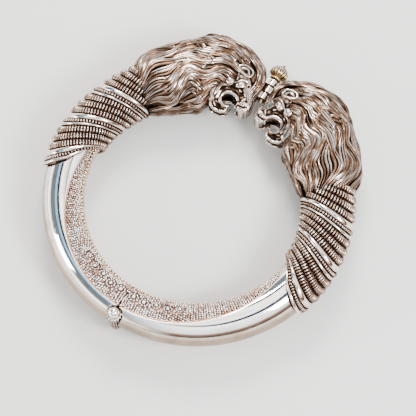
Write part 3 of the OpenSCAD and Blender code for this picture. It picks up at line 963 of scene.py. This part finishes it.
# Hollows pressed into each side of the face: x, y, height, reach, depth
HOLLOWS = [
    (7.1, 29.75, 4.4, 1.1, 0.7),
    (6.0, 30.2, 4.2, 0.7, 0.5),
    (8.0, 29.6, 4.2, 0.6, 0.4),
    (4.6, 29.6, 3.6, 0.8, 0.4),
    (9.7, 28.6, 4.0, 1.0, 0.45),
    (3.9, 32.2, 4.4, 0.5, 0.3),
    (3.0, 34.6, 4.4, 0.5, 0.3),
    (2.5, 28.7, 3.2, 0.4, 0.3),
    (6.5, 35.4, 5.3, 0.5, 0.15),
    (8.6, 24.2, 1.9, 0.9, 0.6),
    (3.0, 26.7, 3.0, 0.35, 0.2),
]
# Middle of the open mouth, x and y, and the reach of the painted shade inside it
MOUTH = (6.8, 27.2, 2.3)
# Grain of the fused skin, and the height between its darkest and brightest forms
FACE_VOXEL = 0.138
FACE_RELIEF = 0.12


def tapered(pile, nodes, sides=14, per_span=6):
    """Closed round form through nodes of x, y, z and radius."""
    path = smooth_path(nodes, per_span * (len(nodes) - 1) + 1)
    centre, r = path[:, :3], np.maximum(path[:, 3], 0.04)
    along = unit(np.gradient(centre, axis=0))
    guide = np.where(np.abs(along[:, 2:3]) > 0.9, [[1.0, 0, 0]], [[0, 0, 1.0]])
    a = unit(np.cross(along, guide))
    b = np.cross(along, a)
    turn = circle(sides)
    ring = a[:, None] * np.cos(turn)[None, :, None] + b[:, None] * np.sin(turn)[None, :, None]
    rows = centre[:, None] + ring * r[:, None, None]
    pile.grid(rows, 1.0, caps=True)
    for i in (0, -1):
        ball(pile, centre[i], r[i])


def ball(pile, at, r):
    points, faces = BALL
    pile.add(points * r + np.asarray(at), faces, 1.0)


def neighbours_mean(points, edges, rounds):
    """Points pulled to the mean of their neighbours a number of times."""
    count = np.zeros(len(points))
    np.add.at(count, edges[:, 0], 1)
    np.add.at(count, edges[:, 1], 1)
    for _ in range(rounds):
        total = np.zeros_like(points)
        np.add.at(total, edges[:, 0], points[edges[:, 1]])
        np.add.at(total, edges[:, 1], points[edges[:, 0]])
        points = total / np.maximum(count, 1)[:, None]
    return points


def read(items, key, width, kind=float):
    """Values of a mesh's vertices or edges, as rows."""
    values = np.empty(len(items) * width, kind)
    items.foreach_get(key, values)
    return values.reshape(-1, width)


def face(side):
    """Face of one lion: all its forms fused, smoothed and given its relief."""
    pile = Pile()
    around = np.arange(0, 360, 6)
    skull = [skin(angle, around, 0.35) for angle in np.linspace(MANE[0, 0], 13.5, 24)]
    pile.grid(skull, 1.0, caps=True)
    for form in FACE_CORE.values():
        for x, y, spread, r in smooth_path(form, 5 * len(form)):
            tapered(pile, [(x, y + RING_Y, MID_Z - spread, r), (x, y + RING_Y, MID_Z + spread, r)], 18, 3)
    for form in FACE_SIDES.values():
        for flip in (1, -1):
            tapered(pile, [(x, y + RING_Y, MID_Z + flip * z, r) for x, y, z, r in form])
    for x, y, z, tip_x, tip_y, r in TEETH:
        for flip in (1, -1):
            root = (x, y + RING_Y, MID_Z + flip * z, r)
            middle = ((x + tip_x) / 2, (y + tip_y) / 2 + RING_Y, MID_Z + flip * z * 0.95, r * 0.7)
            tapered(pile, [root, middle, (tip_x, tip_y + RING_Y, MID_Z + flip * z * 0.9, 0.08)], 10)
    name = HALF[side] + "_face"
    piece = pile.build(name, side, "carved_silver", carved, [HALF[side] + "_head"])
    remesh = piece.modifiers.new("fuse", "REMESH")
    remesh.mode = "VOXEL"
    remesh.voxel_size = FACE_VOXEL * MM
    shrink = piece.modifiers.new("soften", "SMOOTH")
    shrink.factor = 0.5
    shrink.iterations = 2
    bpy.context.view_layer.update()
    ready = bpy.data.meshes.new_from_object(piece.evaluated_get(bpy.context.evaluated_depsgraph_get()))
    piece.modifiers.clear()
    piece.data = ready
    points, outward = read(ready.vertices, "co", 3), read(ready.vertices, "normal", 3)
    soft = neighbours_mean(points, read(ready.edges, "vertices", 2, int), 14)
    relief = 0.5 + ((points - soft) * outward).sum(1) / MM / FACE_RELIEF
    local = points / MM * [side, 1, 1] - [0, RING_Y, MID_Z]
    local[:, 2] = np.abs(local[:, 2])
    for x, y, z, reach, depth in HOLLOWS:
        near = np.clip(1 - (np.linalg.norm(local - [x, y, z], axis=1) / reach) ** 2, 0, 1)
        points = points - outward * (near**2 * depth * MM)[:, None]
        relief = relief - 1.1 * near
    from_mouth = np.hypot(local[:, 0] - MOUTH[0], local[:, 1] - MOUTH[1])
    beside = np.clip(1.2 - np.abs(from_mouth - 4.0), 0, 1) * (local[:, 1] < 30.3)
    wrinkle = np.sin(from_mouth * 9.5) * beside
    near = np.clip(2.4 - 1.3 * np.hypot(local[:, 0] - 2.7, local[:, 1] - 27.0), 0, 1)
    dots = near * np.clip(np.cos(local * 10).sum(1) / 2, -1, 1)
    points = points + outward * ((dots * 0.1 + wrinkle * 0.07) * MM)[:, None]
    relief = relief + 0.5 * dots + 0.3 * wrinkle
    # Painted shade inside the open mouth: its inner surfaces near the middle plane are painted dark
    painted_mouth_shade = (from_mouth < MOUTH[2]) & (local[:, 2] < 2.0)
    relief = np.clip(relief - 0.6 * painted_mouth_shade, 0, 1)
    ready.vertices.foreach_set("co", points.ravel())
    if "relief" in ready.attributes:
        ready.attributes.remove(ready.attributes["relief"])
    set_relief(ready, relief)
    if not ready.materials:
        ready.materials.append(carved)
    return piece


# Clasp and hinge pin

# Profiles round the clasp's axis: distance from the ring's centre, radius
RIM_PROFILE = [
    (39.45, 0.6), (39.45, 1.5), (39.6, 1.62), (39.95, 1.6), (40.1, 1.25), (40.2, 1.2), (40.35, 1.5),
    (40.6, 2.1), (40.9, 2.5), (41.2, 2.62), (41.45, 2.6), (41.6, 2.45), (41.6, 0.5)
]
DOME_PROFILE = [
    (41.5, 0.5), (41.5, 2.32), (42.1, 2.22), (42.6, 1.98), (43.1, 1.55), (43.5, 1.0), (43.75, 0.6),
    (43.9, 0.42), (44.05, 0.5), (44.3, 0.48), (44.48, 0.25), (44.5, 0.0)
]
# Washer of the hinge pin: height off the middle plane, radius
WASHER = [(3.65, 0.0), (3.65, 1.55), (3.75, 1.7), (3.95, 1.7), (4.05, 1.5), (4.05, 0.0)]


def clasp_screw():
    """Screw pin with a ribbed gilt rim and a dome set with rows of grains."""
    centre = (0, RING_Y, MID_Z)
    rim = Pile()
    turned(rim, [(31.6, 0.0), (31.6, 0.58), (39.5, 0.58)], centre, "y", 32)
    turned(rim, RIM_PROFILE, centre, "y", 96, ribs=16, rib_depth=0.09)
    rim.build("clasp_screw_rim", 1, "gilt_silver", gilt, ["clasp_screw"], "clasp_screw")
    dome = Pile()
    turned(dome, DOME_PROFILE, centre, "y", 64, relief=0.3)
    for reach, radius, count, size, lean in (
        (41.75, 2.3, 24, 0.27, 0.1), (42.3, 2.14, 22, 0.27, 0.3), (42.8, 1.82, 19, 0.25, 0.6),
        (43.2, 1.42, 15, 0.24, 0.9), (43.52, 0.95, 10, 0.22, 1.2)
    ):
        bead_circle(dome, centre, radius, count, size, reach, "y", lean)
    dome.build("clasp_screw_dome", 1, "gilt_silver", wired, body="clasp_screw")


def clasp_knuckle(name):
    """Knuckle cut from its node's form, with tarnish where it meets its neighbours."""
    node = frame["nodes"][name]
    work = bmesh.new()
    work.from_mesh(node.data)
    low, high = (min(v.co.y for v in work.verts), max(v.co.y for v in work.verts))
    for level in (low + 0.16 * MM, low + 0.3 * MM, high - 0.3 * MM, high - 0.16 * MM):
        parts = work.verts[:] + work.edges[:] + work.faces[:]
        bmesh.ops.bisect_plane(work, geom=parts, plane_co=(0, level, 0), plane_no=(0, 1, 0))
    mesh = bpy.data.meshes.new(name + "_polished")
    work.to_mesh(mesh)
    work.free()
    relief = [0.0 if v.co.y < low + 0.2 * MM or v.co.y > high - 0.2 * MM else 1.0 for v in mesh.vertices]
    set_relief(mesh, relief)
    mesh.set_sharp_from_angle(angle=0.6)
    mesh.materials.append(smooth_wire)
    dress(placed(name + "_polished", mesh), name.split("_")[0] + "_half", [name])


def hinge_pin():
    """Pin with a beaded washer and a ball at each end."""
    pile = Pile()
    centre = np.array([0, RING_Y - HINGE_R, MID_Z])
    for flip in (1, -1):
        turned(pile, [(flip * height, r) for height, r in WASHER[::flip]], centre, sides=64)
        bead_circle(pile, centre, 1.62, 14, 0.34, flip * 3.9)
        points, faces = FINE_BALL
        pile.add(points * 1.42 + centre + [0, 0, flip * 4.95], faces, 1.0)
    turned(pile, [(-3.7, PIN_R), (3.7, PIN_R)], centre)
    pile.build("hinge_pin_ball", 1, "polished_silver", polished, ["hinge_pin"], "left_half")


# Floor, light and camera


# Cards and gaps round the bangle by height, from below to overhead, on two sides of the studio
CARDS = [
    [(0.0, (0.09, 0.07, 0.055)), (0.5, (0.1, 0.08, 0.065)), (0.525, (0.9, 0.86, 0.8)),
     (0.6, (1.0, 1.0, 0.98)), (0.65, (0.5, 0.49, 0.46)), (0.69, (0.07, 0.066, 0.06)),
     (0.78, (0.065, 0.075, 0.085)), (0.84, (0.03, 0.06, 0.1)), (0.862, (0.16, 0.27, 0.36)),
     (0.905, (0.18, 0.28, 0.35)), (0.915, (0.004, 0.006, 0.012)), (0.942, (0.005, 0.004, 0.004)),
     (0.955, (1.0, 1.0, 0.95)), (0.985, (1.0, 1.0, 0.98)), (1.0, (0.3, 0.3, 0.28))],
    [(0.0, (0.09, 0.07, 0.055)), (0.5, (0.04, 0.03, 0.022)), (0.56, (0.05, 0.033, 0.025)),
     (0.66, (0.16, 0.1, 0.08)), (0.7, (0.5, 0.5, 0.5)), (0.88, (0.7, 0.71, 0.73)),
     (0.93, (1.0, 1.0, 1.0)), (0.945, (0.003, 0.008, 0.02)), (0.974, (0.004, 0.01, 0.025)),
     (0.982, (0.9, 0.9, 0.9)), (1.0, (0.9, 0.9, 0.88))],
]


def card_ramp(n, level, stops):
    """Colour of the studio at a height."""
    ramp = n.add("ShaderNodeValToRGB", {"Fac": level})
    elements = ramp.color_ramp.elements
    for position, colour in stops[1:-1]:
        elements.new(position).color = (*colour, 1)
    elements[0].color = (*stops[0][1], 1)
    elements[-1].color = (*stops[-1][1], 1)
    return ramp.outputs["Color"]


def studio():
    """Pale floor, the cards as the world's colour, and three soft lights."""
    floor = bpy.data.meshes.new("floor")
    wide = 1.2
    corners = [(-wide, -wide, 0), (wide, -wide, 0), (wide, wide, 0), (-wide, wide, 0)]
    floor.from_pydata(corners, [], [(0, 1, 2, 3)])
    plane = placed("floor", floor)
    pale = bpy.data.materials.new("pale_floor")
    pale.use_nodes = True
    shader = pale.node_tree.nodes["Principled BSDF"]
    shader.inputs["Base Color"].default_value = (0.62, 0.61, 0.59, 1)
    shader.inputs["Roughness"].default_value = 0.8
    floor.materials.append(pale)

    world = bpy.data.worlds.new("studio")
    bpy.context.scene.world = world
    world.use_nodes = True
    n = Nodes(world.node_tree)
    place = n.add("ShaderNodeTexCoord").outputs["Generated"]
    split = n.add("ShaderNodeSeparateXYZ", {"Vector": place})
    level = n.remap(split.outputs["Z"], -1, 1)
    west, east = (card_ramp(n, level, stops) for stops in CARDS)
    glow = n.mix(n.remap(split.outputs["X"], -0.3, 0.3), west, east)
    n.feed(world.node_tree.nodes["Background"], {"Strength": 4.0, "Color": glow})

    # Lights: name, place, size, power, colour
    for name, place, size, power, colour in (
        ("key", (-0.16, 0.26, 0.34), 0.16, 3.2, (1.0, 0.98, 0.95)),
        ("fill", (0.3, -0.02, 0.3), 0.12, 3.0, (0.95, 0.97, 1.0)),
        ("rim", (-0.3, -0.24, 0.16), 0.12, 1.2, (1.0, 0.93, 0.85)),
    ):
        light = bpy.data.lights.new(name, "AREA")
        light.size = size
        light.energy = power
        light.color = colour
        lamp = placed(name, light)
        lamp.location = place
        lamp.rotation_euler = (-Vector(place)).to_track_quat("-Z", "Y").to_euler()


# Size of the photo, and the camera's place over the ring, fitted to the photo's outline
IMAGE = 416
CAMERA_TILT = 21.6
CAMERA_TURN = 303.3
IMAGE_ROLL = 271.6
CAMERA_REACH = 0.3551
METRES_PER_PIXEL = 0.00025855
RING_PIXEL = (196.8, 196.9)


def camera():
    """Camera at the photo's angle: tilted from straight above, with the ring's centre at its pixel."""
    tilt, turn, roll = (math.radians(v) for v in (CAMERA_TILT, CAMERA_TURN, IMAGE_ROLL))
    lean = Vector((math.cos(turn), math.sin(turn), 0))
    back = lean * math.sin(tilt) + Vector((0, 0, math.cos(tilt)))
    down = lean * math.cos(tilt) - Vector((0, 0, math.sin(tilt)))
    beside = Vector((-lean.y, lean.x, 0))
    right = down * math.cos(roll) - beside * math.sin(roll)
    up = down * math.sin(roll) + beside * math.cos(roll)
    ring = Vector((0, RING_Y, MID_Z)) * MM
    off_x, off_y = (IMAGE / 2 - pixel for pixel in RING_PIXEL)
    target = ring + (right * off_x - up * off_y) * METRES_PER_PIXEL
    place = Matrix((right, up, back)).transposed().to_4x4()
    place.translation = target + back * CAMERA_REACH
    lens = bpy.data.cameras.new("camera")
    lens.sensor_width = 36
    lens.lens = 36 / (IMAGE * METRES_PER_PIXEL / CAMERA_REACH)
    eye = placed("camera", lens)
    eye.matrix_world = place
    bpy.context.scene.camera = eye


camera()
studio()
for half in (1, -1):
    polished_tube(half)
    lining(half)
    collar(half)
    mane(half)
    face(half)
clasp_screw()
hinge_pin()
for knuckle in ("left_clasp_knuckle_outer", "left_clasp_knuckle_inner", "right_clasp_knuckle"):
    clasp_knuckle(knuckle)
